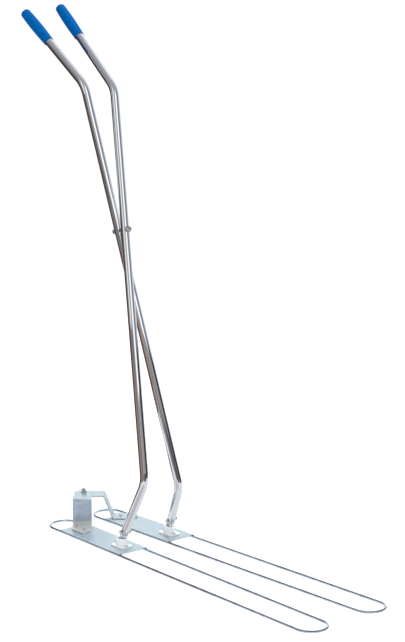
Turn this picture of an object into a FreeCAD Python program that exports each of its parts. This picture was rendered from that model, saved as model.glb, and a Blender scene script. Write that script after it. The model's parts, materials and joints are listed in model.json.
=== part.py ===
"""Long-handled scissor lifting tongs with two wire-loop jaws.

Frame: +X to the user's left, -Y forward along the jaws, +Z up, millimetres and degrees.
Two jaws lie on the ground and fold about an upright bolt at their rear, the jaw pivot.
Each jaw is a wire loop with a deck plate, and carries a nylon collar.  A bent pin swivels in
the collar, a handle tube rocks on the pin, and the two tubes cross at the scissor bolt.
Everything is placed from the jaw pivot's foot, then moved so that the origin is at the
middle of the assembly's footprint.
"""
import FreeCAD, Part
import math
import os
import Sketcher

Vector = FreeCAD.Vector
Rotation = FreeCAD.Rotation
Placement = FreeCAD.Placement

DIMENSIONS = {
    # wire loops
    "wire_radius": 3.0,
    "loop_width": 80.0,              # between the centre lines of the two long wires
    "loop_front": 1004.5,            # centre line of the front turn, ahead of the jaw pivot
    "loop_rear": 24.0,               # centre line of the rear turn, behind the jaw pivot
    "rail_offset": 32.5,             # inner wire's centre line from the jaw's own zero line
    "rest_opening": 1.25,            # each jaw's angle from the middle plane at rest
    # deck plates and their weld beads
    "deck_thickness": 2.0,
    "deck_lip": 2.5,                 # plate edge beyond the wire's centre line
    "deck_rear": 53.0,
    "deck_front": 310.0,
    "bead_radius": 3.8,
    # bent strip brackets
    "strip_width": 50.0,
    "strip_thickness": 3.0,
    "strip_bend": 3.5,               # inner bend radius
    "strip_tail": 27.0,              # strip's end behind the jaw pivot
    "tip_offset": 5.8,               # a pointed end's tip from the strip's centre line
    "stack_gap": 0.05,               # running gap between the two brackets
    "tower_top": 75.5,
    "tower_angle": 40.0,             # strip direction from its jaw's forward line
    "web_reach": 65.0,               # outer face of the tower's web from the jaw pivot
    "tower_tip": 151.0,
    "tower_screw_forward": 67.0,
    "arm_angle": 47.5,
    "arm_bend_reach": 53.0,
    "arm_foot_reach": 77.0,
    "arm_tip": 143.0,
    "arm_screw_reach": 98.0,
    "screw_pitch": 34.0,
    "arm_screw_pitch": 26.0,
    # fasteners
    "bracket_screw_radius": 2.5,
    "collar_screw_radius": 2.0,
    "cross_radius": 3.0,
    "large_radius": 4.0,
    "fit_gap": 0.05,                 # radial clearance of a hole round its own bolt
    "thin_washer": 1.2,
    "thick_washer": 1.6,
    # collars
    "collar_forward": 263.0,
    "collar_length": 50.0,
    "collar_width": 35.0,
    "collar_base": 4.0,
    "collar_height": 23.0,
    "collar_low_radius": 15.8,
    "collar_top_radius": 14.3,
    "collar_corner": 6.0,
    "collar_round": 1.5,
    "collar_screw_pitch": 40.0,
    "socket_radius": 11.5,
    "socket_depth": 14.0,
    # swivel pins
    "pin_radius": 7.0,
    "pin_bend_height": 24.0,
    "pin_foot": 1.5,
    "pin_stub": 41.0,
    "pin_eye_radius": 3.7,
    "groove_radius": 5.4,
    "groove_low": 3.2,
    "groove_height": 1.2,
    # handle tubes
    "tube_radius": 11.0,
    "tube_wall": 1.5,
    "tube_gap": 5.0,                 # between the two tubes where they cross
    "tube_bend": 65.0,
    "side_lean": 5.75,               # each tube's plane from upright
    "lower_lean": 24.0,              # forward
    "middle_lean": 13.5,             # backward
    "upper_lean": 52.1,              # backward
    "left_lower_length": 137.0,
    "left_middle_length": 1046.0,
    "left_upper_length": 282.5,
    "right_middle_length": 994.5,
    "right_upper_length": 316.5,
    "tube_start": 13.5,              # tube's lower end above the pin's bend
    "neck_end": 22.0,
    "neck_radius": 9.7,
    "cross_bolt_height": 27.0,
    "open_pivot_gap": 1.3,           # radial play of the scissor bolt in the right tube
    # grips
    "grip_length": 118.0,
    "grip_cap": 4.0,
    "grip_end_radius": 12.8,
    "grip_middle_radius": 14.3,
    "grip_round": 5.0,
}

SIGN = {"left": 1, "right": -1}      # side of the jaw on the X axis
AXIS_SIDE = "(Dims.rail_offset + Dims.loop_width / 2)"
DECK_TOP = "(2 * Dims.wire_radius + Dims.deck_thickness)"
TUBE_PITCH = "(2 * Dims.tube_radius + Dims.tube_gap)"

doc = FreeCAD.newDocument("lifting_tongs")
sheet = doc.addObject("Spreadsheet::Sheet", "Dims")
for row, (alias, number) in enumerate(DIMENSIONS.items(), start=1):
    sheet.set("A%d" % row, alias)
    sheet.set("B%d" % row, str(number))
    sheet.setAlias("B%d" % row, alias)
doc.recompute()

subparts = []


# ------------------------------------------------------------------ helpers

def dim(alias):
    """A cell's value, for placements."""
    return float(sheet.get(alias))


def value_of(formula):
    """A formula's value, for placements and for a sketch's first guess."""
    return float(sheet.evalExpression(formula))


def move(x=0.0, y=0.0, z=0.0, turn=None):
    return Placement(Vector(x, y, z), turn or Rotation())


def turned(axis, angle):
    return Rotation(Vector(*axis), angle)


def solid(kind, name, place=None, **formulas):
    """A Part primitive with its sizes bound to the sheet."""
    item = doc.addObject(kind, name)
    for prop, formula in formulas.items():
        item.setExpression(prop, formula)
    if place is not None:
        item.Placement = place
    return item


def cylinder(name, radius, height, place=None):
    return solid("Part::Cylinder", name, place, Radius=radius, Height=height)


def hexagon(name, flats, height, place=None):
    """A six-sided prism, given its width across the flats."""
    item = solid("Part::Prism", name, place, Circumradius="%s / 2 / cos(30)" % flats, Height=height)
    item.Polygon = 6
    return item


def cut(name, base, tool):
    item = doc.addObject("Part::Cut", name)
    item.Base, item.Tool = base, tool
    return item


def fuse(name, *pieces):
    item = doc.addObject("Part::MultiFuse", name)
    item.Shapes = list(pieces)
    return item


def group(name, pieces):
    """Separate solids that share one node."""
    item = doc.addObject("Part::Compound", name)
    item.Links = list(pieces)
    return item


def finish(item, label, place):
    """Name a finished sub-part and put it in its place."""
    item.Label = label
    item.Placement = place.multiply(item.Placement)
    subparts.append(item)
    return item


# ------------------------------------------------------------------ sketches

def new_body(name):
    return doc.addObject("PartDesign::Body", name)


def new_sketch(body, name, role, height=None):
    """A sketch on one of the body's origin planes, or at a height above it."""
    sketch = body.newObject("Sketcher::SketchObject", name)
    plane = next(o for o in body.Origin.OriginFeatures if o.Role == role)
    sketch.AttachmentSupport = [(plane, "")]
    sketch.MapMode = "FlatFace"
    if height is not None:
        sketch.setExpression("AttachmentOffset.Base.z", height)
    return sketch


def constrain(sketch, formula, kind, *where):
    """A driving constraint bound to a formula; an angle's formula is in degrees."""
    first = value_of(formula)
    is_angle = kind == "Angle"
    index = sketch.addConstraint(Sketcher.Constraint(kind, *where, math.radians(first) if is_angle else first))
    sketch.setExpression("Constraints[%d]" % index, "(%s) * 1 deg" % formula if is_angle else formula)


def fix_point(sketch, edge, end, formulas):
    """Hold one point of a sketch edge at two formulas."""
    for kind, formula in zip(("DistanceX", "DistanceY"), formulas):
        constrain(sketch, formula, kind, -1, 1, edge, end)


def outline(sketch, corners, curved=None):
    """A closed outline through pairs of formulas; curved maps an edge to an arc's radius."""
    curved = curved or {}
    points = [Vector(value_of(a), value_of(b), 0) for a, b in corners]
    count = len(points)
    for i, start in enumerate(points):
        stop = points[(i + 1) % count]
        edge = Part.LineSegment(start, stop)
        if i in curved:
            chord = stop - start
            radius = value_of(curved[i])
            bulge = radius - math.sqrt(radius ** 2 - (chord.Length / 2) ** 2)
            outward = chord.cross(Vector(0, 0, 1)).normalize()
            edge = Part.Arc(start, start + chord / 2 + outward * bulge, stop)
        sketch.addGeometry(edge, False)
    for i in range(count):
        sketch.addConstraint(Sketcher.Constraint("Coincident", i, 2, (i + 1) % count, 1))
    for i, corner in enumerate(corners):
        fix_point(sketch, i, 1, corner)
    for i, radius in curved.items():
        constrain(sketch, radius, "Radius", i)
    return sketch


def circle(sketch, x, y, radius):
    centre = Vector(value_of(x), value_of(y), 0)
    index = sketch.addGeometry(Part.Circle(centre, Vector(0, 0, 1), value_of(radius)), False)
    fix_point(sketch, index, 3, (x, y))
    constrain(sketch, radius, "Radius", index)


def pad(body, name, sketch, length, both_ways=False):
    feature = body.newObject("PartDesign::Pad", name)
    feature.Profile = sketch
    feature.Midplane = both_ways
    feature.setExpression("Length", length)
    return feature


def pocket(body, name, sketch, both_ways=False):
    """A cut through everything above the sketch, or on both of its sides."""
    feature = body.newObject("PartDesign::Pocket", name)
    feature.Profile = sketch
    feature.Type = "ThroughAll"
    feature.Midplane = both_ways
    feature.Reversed = not both_ways
    return feature


def revolve(body, name, sketch):
    """A full turn about the sketch's upright axis."""
    feature = body.newObject("PartDesign::Revolution", name)
    feature.Profile = sketch
    feature.ReferenceAxis = (sketch, ["V_Axis"])
    feature.Angle = 360.0
    return feature


def fillet(body, name, base, radius, chosen):
    """Round the edges of a feature that the test picks."""
    doc.recompute()
    feature = body.newObject("PartDesign::Fillet", name)
    feature.Base = (base, ["Edge%d" % i for i, e in enumerate(base.Shape.Edges, start=1) if chosen(e)])
    feature.setExpression("Radius", radius)
    return feature


# ------------------------------------------------------------------ places

def jaw_frame(side):
    """Origin at the jaw pivot's foot, -Y forward along the jaw."""
    return move(turn=turned((0, 0, 1), SIGN[side] * dim("rest_opening")))


def jaw_place(side, sideways, forward, z=0.0):
    """A place in the jaw's frame, given formulas for its distances outward and forward."""
    return jaw_frame(side).multiply(move(SIGN[side] * value_of(sideways), -value_of(forward), z))


def strip_frame(side):
    """-Y along the bracket's strip, away from the jaw pivot."""
    angle = dim("arm_angle" if side == "left" else "tower_angle")
    return jaw_frame(side).multiply(move(turn=turned((0, 0, 1), SIGN[side] * angle)))


def collar_place(side, z):
    return jaw_place(side, AXIS_SIDE, "Dims.collar_forward", z)


def handle_turn(side):
    """From upright to the tube's lower section: lean forward, then to the middle."""
    sideways = turned((0, 1, 0), -SIGN[side] * dim("side_lean"))
    return sideways.multiply(turned((1, 0, 0), dim("lower_lean")))


def bend_place(side, turn=None):
    """The swivel pin's bend, on the collar's axis."""
    return Placement(collar_place(side, dim("pin_bend_height")).Base, turn or Rotation())


def handle_frame(side):
    return bend_place(side, handle_turn(side))


def lower_length(side):
    """The right tube's lower section is longer, so that the tubes pass one behind the other."""
    formula = "Dims.left_lower_length"
    if side == "right":
        formula += " + %s / sin(Dims.lower_lean + Dims.middle_lean)" % TUBE_PITCH
    return formula


def tube_corner(side, number):
    """Corner 1 or 2 of the tube's centre line, or its upper end, in the handle's frame."""
    middle = dim("lower_lean") + dim("middle_lean")
    upper = dim("lower_lean") + dim("upper_lean")
    runs = [(0.0, value_of(lower_length(side))), (middle, dim(side + "_middle_length")),
            (upper, dim(side + "_upper_length"))]
    point = Vector()
    for angle, length in runs[:number]:
        point += Vector(0, math.sin(math.radians(angle)), math.cos(math.radians(angle))) * length
    return point


def tube_crossing(side):
    """Where the tube's middle section meets the middle plane."""
    low, high = (handle_frame(side).multVec(tube_corner(side, n)) for n in (1, 2))
    return low + (high - low) * (low.x / (low.x - high.x))


def scissor_frame():
    """Origin halfway between the tubes, +Z forward along the scissor bolt."""
    centre = (tube_crossing("left") + tube_crossing("right")) / 2
    lean = math.radians(dim("middle_lean"))
    rise = math.sin(lean) * math.cos(math.radians(dim("side_lean")))
    return Placement(centre, Rotation(Vector(0, 0, 1), Vector(0, -math.cos(lean), rise)))


# ------------------------------------------------------------------ fasteners

def bolt(name, radius, flats, head, length):
    """A hexagon bolt: the head's bearing face is at z = 0 and the shank points down."""
    body = hexagon(name + "_head", flats, head)
    crown = solid("Part::Cone", name + "_crown", Radius1="%s / 2 + %s / 2" % (flats, head),
                  Radius2="%s / 2 * 0.94" % flats, Height=head)
    shaped = doc.addObject("Part::Common", name + "_chamfered_head")
    shaped.Base, shaped.Tool = body, crown
    shank = cylinder(name + "_shank", radius, length, move(turn=turned((1, 0, 0), 180)))
    return fuse(name, shaped, shank)


def lock_nut(name, radius, flats, height):
    """A nut with the plain round collar that holds its locking ring, standing on z = 0."""
    six_sided = hexagon(name + "_hexagon", flats, "%s * 0.75" % height)
    crown = cylinder(name + "_crown", "%s * 0.44" % flats, height)
    bore = cylinder(name + "_bore", "%s + Dims.fit_gap" % radius, height)
    return cut(name, fuse(name + "_body", six_sided, crown), bore)


def plain_nut(name, radius, flats, height):
    return cut(name, hexagon(name + "_hexagon", flats, height),
               cylinder(name + "_bore", "%s + Dims.fit_gap" % radius, height))


def washer(name, radius, hole, thickness):
    return cut(name, cylinder(name + "_disc", radius, thickness), cylinder(name + "_hole", hole, thickness))


def slotted_screw(name, radius, head_radius, head, length):
    """A cheese-head screw with a driver slot, its bearing face at z = 0."""
    slot = solid("Part::Box", name + "_slot", Length="%s * 2 + 2" % head_radius, Width="1.1", Height=head)
    slot.setExpression("Placement.Base.x", "-%s - 1" % head_radius)
    slot.setExpression("Placement.Base.y", "-0.55")
    slot.setExpression("Placement.Base.z", "%s * 0.5" % head)
    shank = cylinder(name + "_shank", radius, length, move(turn=turned((1, 0, 0), 180)))
    return cut(name, fuse(name + "_solid", cylinder(name + "_head", head_radius, head), shank), slot)


def set_at(item, place):
    item.Placement = place
    return item


# ------------------------------------------------------------------ jaws

def wire_loop(side):
    """A round wire bent to a long ring and closed by a butt weld."""
    half = "Dims.loop_width / 2"
    straight = "Dims.loop_front + Dims.loop_rear - Dims.loop_width"
    middle, front, rear = (value_of(f) for f in (AXIS_SIDE, "Dims.loop_front - %s" % half,
                                                 "Dims.loop_rear - %s" % half))
    height = dim("wire_radius")
    forward = turned((1, 0, 0), 90)
    pieces = []
    for edge in (-1, 1):
        x = SIGN[side] * middle + edge * dim("loop_width") / 2
        pieces.append(cylinder("%s_rail_%d" % (side, edge + 1), "Dims.wire_radius", straight,
                               move(x, rear, height, forward)))
    for name, y, angle in (("front", -front, 180), ("rear", rear, 0)):
        turn = solid("Part::Torus", "%s_%s_turn" % (side, name),
                     move(SIGN[side] * middle, y, height, turned((0, 0, 1), angle)),
                     Radius1=half, Radius2="Dims.wire_radius")
        turn.Angle3 = 180.0
        pieces.append(turn)
    finish(fuse(side + "_loop", *pieces), side + "_wire_loop", jaw_frame(side))


def bracket_screws_at(side):
    """Formulas for the bracket screws' distances outward and forward in the jaw's frame."""
    if side == "right":
        return [(AXIS_SIDE, "Dims.tower_screw_forward"),
                (AXIS_SIDE, "(Dims.tower_screw_forward + Dims.screw_pitch)")]
    reaches = ("Dims.arm_screw_reach", "(Dims.arm_screw_reach + Dims.arm_screw_pitch)")
    return [("%s * sin(Dims.arm_angle)" % r, "%s * cos(Dims.arm_angle)" % r) for r in reaches]


def collar_screws_at():
    return [(AXIS_SIDE, "(Dims.collar_forward %s Dims.collar_screw_pitch / 2)" % way) for way in "-+"]


def deck_plate(side):
    """A flat plate across the two wires, drilled for the bracket, the collar and the pin."""
    body = new_body(side + "_deck")
    sketch = new_sketch(body, side + "_deck_outline", "XY_Plane", "2 * Dims.wire_radius")
    sign = "" if side == "left" else "-"
    near = "%s(Dims.rail_offset - Dims.deck_lip)" % sign
    far = "%s(Dims.rail_offset + Dims.loop_width + Dims.deck_lip)" % sign
    outline(sketch, [(near, "-Dims.deck_rear"), (far, "-Dims.deck_rear"),
                     (far, "-Dims.deck_front"), (near, "-Dims.deck_front")])
    for sideways, forward in bracket_screws_at(side):
        circle(sketch, sign + sideways, "-" + forward, "Dims.bracket_screw_radius + Dims.fit_gap")
    for sideways, forward in collar_screws_at():
        circle(sketch, sign + sideways, "-" + forward, "Dims.collar_screw_radius + Dims.fit_gap")
    circle(sketch, sign + AXIS_SIDE, "-Dims.collar_forward", "Dims.pin_radius + 4 * Dims.fit_gap")
    pad(body, side + "_deck_pad", sketch, "Dims.deck_thickness")
    finish(body, side + "_deck_plate", jaw_frame(side))


def plate_welds(side):
    """A bead where each wire leaves the plate, shaped to the wire and the plate's edge."""
    beads, rails = [], []
    for row, rail in enumerate(("Dims.rail_offset", "Dims.rail_offset + Dims.loop_width")):
        x = SIGN[side] * value_of(rail)
        rails.append(cylinder("%s_bead_rail_%d" % (side, row), "Dims.wire_radius", "Dims.loop_front",
                              move(x, 0, dim("wire_radius"), turned((1, 0, 0), 90))))
        for end, forward in enumerate(("Dims.deck_rear", "Dims.deck_front")):
            place = move(x, -value_of(forward), 2 * dim("wire_radius"))
            beads.append(solid("Part::Sphere", "%s_bead_%d%d" % (side, row, end), place,
                               Radius="Dims.bead_radius"))
    slab = solid("Part::Box", side + "_bead_slab", Length="Dims.loop_width * 2",
                 Width="Dims.deck_front - Dims.deck_rear", Height="2 * Dims.bead_radius")
    slab.Placement = move(SIGN[side] * value_of(AXIS_SIDE) - dim("loop_width"), -dim("deck_front"),
                          2 * dim("wire_radius"))
    under = solid("Part::Box", side + "_bead_under", Length="Dims.loop_width * 2",
                  Width="Dims.loop_front", Height="Dims.wire_radius")
    under.Placement = move(SIGN[side] * value_of(AXIS_SIDE) - dim("loop_width"), -dim("loop_front"), 0)
    trimmed = cut(side + "_beads", group(side + "_bead_spheres", beads),
                  fuse(side + "_bead_cutter", slab, under, *rails))
    finish(trimmed, side + "_plate_welds", jaw_frame(side))


# ------------------------------------------------------------------ brackets

def bracket(side, name, angle, tip, profile, bends):
    """A bent strip with pointed ends, drilled for the jaw pivot bolt and its two screws."""
    body = new_body(name)
    pad(body, name + "_strip", outline(new_sketch(body, name + "_profile", "YZ_Plane"), profile),
        "Dims.strip_width", both_ways=True)
    base = body.Tip
    for number, (radius, y, z) in enumerate(bends):
        def at_bend(edge, y=value_of(y), z=value_of(z)):
            middle = edge.BoundBox.Center
            return edge.BoundBox.XLength > 10 and abs(middle.y - y) < 0.01 and abs(middle.z - z) < 0.01
        base = fillet(body, "%s_bend_%d" % (name, number), base, radius, at_bend)
    across = -SIGN[side]
    half = "Dims.strip_width / 2"
    long_slope = "(%s + 1 + Dims.tip_offset) / tan(%s)" % (half, angle)
    short_slope = "(%s + 1 - Dims.tip_offset) * tan(%s)" % (half, angle)
    for end, tip_y, way, flip in (("toe", "-" + tip, "+", 1), ("tail", "Dims.strip_tail", "-", -1)):
        low = "%d * (%s + 1)" % (-across * flip, half)
        high = "%d * (%s + 1)" % (across * flip, half)
        point = "%d * Dims.tip_offset" % (across * flip)
        beyond = "%s - (%s 1) * 40" % (tip_y, way)
        sketch = new_sketch(body, "%s_%s" % (name, end), "XY_Plane")
        outline(sketch, [(low, "%s %s %s" % (tip_y, way, long_slope)), (point, tip_y),
                         (high, "%s %s %s" % (tip_y, way, short_slope)), (high, beyond), (low, beyond)])
        pocket(body, "%s_%s_cut" % (name, end), sketch)
    holes = new_sketch(body, name + "_holes", "XY_Plane")
    circle(holes, "0", "0", "Dims.large_radius + Dims.fit_gap")
    for sideways, forward in bracket_screws_at(side):
        along = "-(%s * sin(%s) + %s * cos(%s))" % (sideways, angle, forward, angle)
        aside = "%d * (%s * sin(%s) - %s * cos(%s))" % (across, forward, angle, sideways, angle)
        circle(holes, aside, along, "Dims.bracket_screw_radius + Dims.fit_gap")
    pocket(body, name + "_drilling", holes)
    finish(body, name, strip_frame(side))


def tower_bracket():
    """Top flange back to the jaw pivot, upright web, foot forward on the right deck plate."""
    top, under = "Dims.tower_top", "(Dims.tower_top - Dims.strip_thickness)"
    foot, tread = DECK_TOP, "(%s + Dims.strip_thickness)" % DECK_TOP
    outer, inner = "-Dims.web_reach", "(-Dims.web_reach + Dims.strip_thickness)"
    tail, toe = "Dims.strip_tail", "-Dims.tower_tip"
    profile = [(tail, under), (tail, top), (outer, top), (outer, tread), (toe, tread), (toe, foot),
               (inner, foot), (inner, under)]
    wide = "Dims.strip_bend + Dims.strip_thickness"
    bends = [(wide, outer, top), ("Dims.strip_bend", inner, under), ("Dims.strip_bend", outer, tread),
             (wide, inner, foot)]
    bracket("right", "tower_bracket", "Dims.tower_angle", "Dims.tower_tip", profile, bends)


def arm_bracket():
    """Top flange under the tower's, a sloping leg, and a foot on the left deck plate."""
    under = "(Dims.tower_top - 2 * Dims.strip_thickness - Dims.stack_gap)"
    top = "(Dims.tower_top - Dims.strip_thickness - Dims.stack_gap)"
    foot, tread = DECK_TOP, "(%s + Dims.strip_thickness)" % DECK_TOP
    slope = "atan2(%s - %s; Dims.arm_foot_reach - Dims.arm_bend_reach)" % (under, foot)
    shift = "Dims.strip_thickness * tan(%s / 2)" % slope
    tail, toe = "Dims.strip_tail", "-Dims.arm_tip"
    profile = [(tail, under), (tail, top), ("-(Dims.arm_bend_reach + %s)" % shift, top),
               ("-(Dims.arm_foot_reach + %s)" % shift, tread), (toe, tread), (toe, foot),
               ("-Dims.arm_foot_reach", foot), ("-Dims.arm_bend_reach", under)]
    wide = "Dims.strip_bend + Dims.strip_thickness"
    bends = [(wide,) + profile[2], ("Dims.strip_bend",) + profile[7],
             ("Dims.strip_bend",) + profile[3], (wide,) + profile[6]]
    bracket("left", "arm_bracket", "Dims.arm_angle", "Dims.arm_tip", profile, bends)


def bracket_fixings(side, name):
    """Two hexagon screws down through the foot and the plate, with nuts under the plate."""
    top = value_of("%s + Dims.strip_thickness" % DECK_TOP)
    below = 2 * dim("wire_radius")
    screws, nuts = [], []
    for number, (sideways, forward) in enumerate(bracket_screws_at(side)):
        screw = bolt("%s_screw_%d" % (name, number), "Dims.bracket_screw_radius", "8", "3.5", "10")
        screws.append(set_at(screw, jaw_place(side, sideways, forward, top)))
        nut = plain_nut("%s_nut_%d" % (name, number), "Dims.bracket_screw_radius", "8", "4")
        nuts.append(set_at(nut, jaw_place(side, sideways, forward, below - 4)))
    finish(group(name + "_screw_pair", screws), name + "_screws", move())
    finish(group(name + "_nut_pair", nuts), name + "_nuts", move())


# ------------------------------------------------------------------ collars and swivel pins

def collar(side):
    """A nylon flange bush: a close journal below, a wide socket above for the leaning pin."""
    name = side + "_collar"
    body = new_body(name + "_body")
    half_x, half_y = "Dims.collar_width / 2", "Dims.collar_length / 2"
    plate = outline(new_sketch(body, name + "_flange_outline", "XY_Plane"),
                    [("-" + half_x, "-" + half_y), (half_x, "-" + half_y), (half_x, half_y),
                     ("-" + half_x, half_y)])
    flange = pad(body, name + "_flange", plate, "Dims.collar_base")
    fillet(body, name + "_corners", flange, "Dims.collar_corner",
           lambda e: e.BoundBox.ZLength > 1 and e.BoundBox.XLength < 0.1 and e.BoundBox.YLength < 0.1)
    cone = outline(new_sketch(body, name + "_cone_outline", "XZ_Plane"),
                   [("0", "0"), ("Dims.collar_low_radius", "0"), ("Dims.collar_low_radius", "Dims.collar_base"),
                    ("Dims.collar_top_radius", "Dims.collar_height"), ("0", "Dims.collar_height")])
    turning = revolve(body, name + "_cone", cone)
    top = dim("collar_height")
    fillet(body, name + "_rim", turning, "Dims.collar_round",
           lambda e: e.BoundBox.ZLength < 0.1 and abs(e.BoundBox.ZMax - top) < 0.01)
    bores = new_sketch(body, name + "_bores", "XY_Plane")
    circle(bores, "0", "0", "Dims.pin_radius + Dims.fit_gap")
    for way in ("-", ""):
        circle(bores, "0", way + "Dims.collar_screw_pitch / 2", "Dims.collar_screw_radius + Dims.fit_gap")
    pocket(body, name + "_drilling", bores)
    socket = new_sketch(body, name + "_socket_outline", "XY_Plane", "Dims.collar_height - Dims.socket_depth")
    circle(socket, "0", "0", "Dims.socket_radius")
    pocket(body, name + "_socket", socket)
    finish(body, name, collar_place(side, value_of(DECK_TOP)))


def collar_fixings(side):
    top = value_of("%s + Dims.collar_base" % DECK_TOP)
    screws, nuts = [], []
    for number, (sideways, forward) in enumerate(collar_screws_at()):
        name = "%s_collar_screw_%d" % (side, number)
        screw = slotted_screw(name, "Dims.collar_screw_radius", "4", "2.6", "10.5")
        screws.append(set_at(screw, jaw_place(side, sideways, forward, top)))
        nut = plain_nut(name + "_nut", "Dims.collar_screw_radius", "7", "3.2")
        nuts.append(set_at(nut, jaw_place(side, sideways, forward, 2 * dim("wire_radius") - 3.2)))
    finish(group(side + "_collar_screw_pair", screws), side + "_collar_screws", move())
    finish(group(side + "_collar_nut_pair", nuts), side + "_collar_nuts", move())


def swivel_pin(side):
    """A round bar: upright in the collar, bent to the tube's lean, with a loose cross eye."""
    name = side + "_pin"
    radius, depth = "Dims.pin_radius", dim("pin_bend_height")
    journal = cylinder(name + "_journal", radius, "Dims.pin_bend_height - Dims.pin_foot",
                       move(z=dim("pin_foot") - depth))
    elbow = solid("Part::Sphere", name + "_elbow", Radius=radius)
    stub = cylinder(name + "_stub", radius, "Dims.pin_stub", move(turn=handle_turn(side)))
    lying = Placement(Vector(-dim("tube_radius"), 0, dim("cross_bolt_height")), turned((0, 1, 0), 90))
    eye = cylinder(name + "_eye", "Dims.pin_eye_radius", "2 * Dims.tube_radius",
                   move(turn=handle_turn(side)).multiply(lying))
    groove = washer(name + "_groove", "Dims.pin_radius + 1", "Dims.groove_radius", "Dims.groove_height")
    groove.Placement = move(z=dim("groove_low") - depth)
    shaped = cut(name, fuse(name + "_bar", journal, elbow, stub), fuse(name + "_cuts", eye, groove))
    finish(shaped, side + "_swivel_pin", bend_place(side))


def pin_retainer(side):
    """A washer and a spring clip in the pin's groove, under the plate."""
    name = side + "_retainer"
    foot = collar_place(side, 0).Base
    disc = washer(name, "12", "Dims.pin_radius + Dims.fit_gap", "1.5")
    washer_low = value_of("Dims.groove_low + Dims.groove_height")
    finish(disc, side + "_swivel_washer", move(foot.x, foot.y, washer_low))
    ring = washer(name + "_ring", "10", "Dims.groove_radius + Dims.fit_gap", "1")
    mouth = solid("Part::Box", name + "_mouth", move(x=-3.5), Length="7", Width="12", Height="1")
    clip = cut(name + "_clip", ring, mouth)
    finish(clip, side + "_swivel_clip", move(foot.x, foot.y, dim("groove_low") + 0.1))


# ------------------------------------------------------------------ handles

def tube_path(body, side):
    """Three straight runs joined by two bends, starting above the narrowed neck."""
    turns = ["Dims.lower_lean + Dims.middle_lean", "Dims.upper_lean - Dims.middle_lean"]
    setback = ["Dims.tube_bend * tan((%s) / 2)" % t for t in turns]
    lengths = ["%s - Dims.neck_end - %s" % (lower_length(side), setback[0]),
               "Dims.%s_middle_length - %s - %s" % (side, setback[0], setback[1]),
               "Dims.%s_upper_length - %s" % (side, setback[1])]
    headings = ["90", "90 - Dims.lower_lean - Dims.middle_lean", "90 - Dims.lower_lean - Dims.upper_lean"]
    path = new_sketch(body, side + "_tube_path", "YZ_Plane")
    point = Vector(0, dim("neck_end"), 0)
    radius = dim("tube_bend")
    for number, (length, heading) in enumerate(zip(lengths, headings)):
        angle = math.radians(value_of(heading))
        along = Vector(math.cos(angle), math.sin(angle), 0)
        stop = point + along * value_of(length)
        path.addGeometry(Part.LineSegment(point, stop), False)
        point = stop
        if number < 2:
            inward = Vector(along.y, -along.x, 0)
            centre = point + inward * radius
            sweep = math.radians(value_of(turns[number]))
            start = angle + math.pi / 2
            ring = Part.Circle(centre, Vector(0, 0, 1), radius)
            path.addGeometry(Part.ArcOfCircle(ring, start - sweep, start), False)
            point = centre + Vector(math.cos(start - sweep), math.sin(start - sweep), 0) * radius
    # edges 0, 2 and 4 are the runs; 1 and 3 are the bends, drawn from their far end
    for run in (0, 2):
        path.addConstraint(Sketcher.Constraint("Tangent", run, 2, run + 1, 2))
        path.addConstraint(Sketcher.Constraint("Tangent", run + 1, 1, run + 2, 1))
        constrain(path, "Dims.tube_bend", "Radius", run + 1)
    path.addConstraint(Sketcher.Constraint("Vertical", 0))
    fix_point(path, 0, 1, ("0", "Dims.neck_end"))
    for run, length in zip((0, 2, 4), lengths):
        constrain(path, length, "Distance", run)
    for run, heading in zip((2, 4), headings[1:]):
        constrain(path, heading, "Angle", run)
    return path


def handle_tube(side):
    """A bent round tube with a narrowed lower neck, drilled for its two bolts."""
    name = side + "_tube"
    body = new_body(name)
    bore = "(Dims.tube_radius - Dims.tube_wall)"
    path = tube_path(body, side)
    section = new_sketch(body, name + "_section", "XY_Plane", "Dims.neck_end")
    circle(section, "0", "0", "Dims.tube_radius")
    circle(section, "0", "0", bore)
    pipe = body.newObject("PartDesign::AdditivePipe", name + "_pipe")
    pipe.Profile = section
    pipe.Spine = (path, ["Edge%d" % n for n in range(1, 6)])
    neck = outline(new_sketch(body, name + "_neck_outline", "XZ_Plane"),
                   [("Dims.neck_radius - Dims.tube_wall", "Dims.tube_start"),
                    ("Dims.neck_radius", "Dims.tube_start"), ("Dims.tube_radius", "Dims.neck_end"),
                    (bore, "Dims.neck_end")])
    revolve(body, name + "_neck", neck)
    cross = new_sketch(body, name + "_cross_hole_outline", "YZ_Plane")
    circle(cross, "0", "Dims.cross_bolt_height", "Dims.cross_radius + Dims.fit_gap")
    pocket(body, name + "_cross_hole", cross, both_ways=True)
    gap = "Dims.fit_gap" if side == "left" else "Dims.open_pivot_gap"
    reach = value_of(TUBE_PITCH)
    drill = cylinder(name + "_scissor_drill", "Dims.large_radius + %s" % gap, "2 * %s" % TUBE_PITCH)
    along = scissor_frame().multiply(move(z=-reach))
    drill.Placement = handle_frame(side).inverse().multiply(along)
    finish(cut(name + "_drilled", body, drill), side + "_handle_tube", handle_frame(side))


def cross_fixings(side):
    """The bolt that ties the tube to its pin, with washers and a lock nut on the tube's sides."""
    name = side + "_cross"
    axis = handle_frame(side).multiply(move(z=dim("cross_bolt_height"), turn=turned((0, 1, 0), 90)))
    seat = value_of("Dims.tube_radius + Dims.thin_washer")
    through = bolt(name, "Dims.cross_radius", "10", "4",
                   "2 * Dims.tube_radius + 2 * Dims.thin_washer + 7.5")
    flip = turned((1, 0, 0), 180)
    finish(through, side + "_cross_bolt", axis.multiply(move(z=-seat, turn=flip)))
    rings = []
    for way, z in (("head", -seat), ("nut", dim("tube_radius"))):
        ring = washer("%s_%s_washer" % (name, way), "6", "Dims.cross_radius + Dims.fit_gap",
                      "Dims.thin_washer")
        rings.append(set_at(ring, move(z=z)))
    finish(group(name + "_washer_pair", rings), side + "_cross_washers", axis)
    nut = lock_nut(name + "_lock_nut", "Dims.cross_radius", "10", "6")
    finish(nut, side + "_cross_nut", axis.multiply(move(z=seat)))


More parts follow.
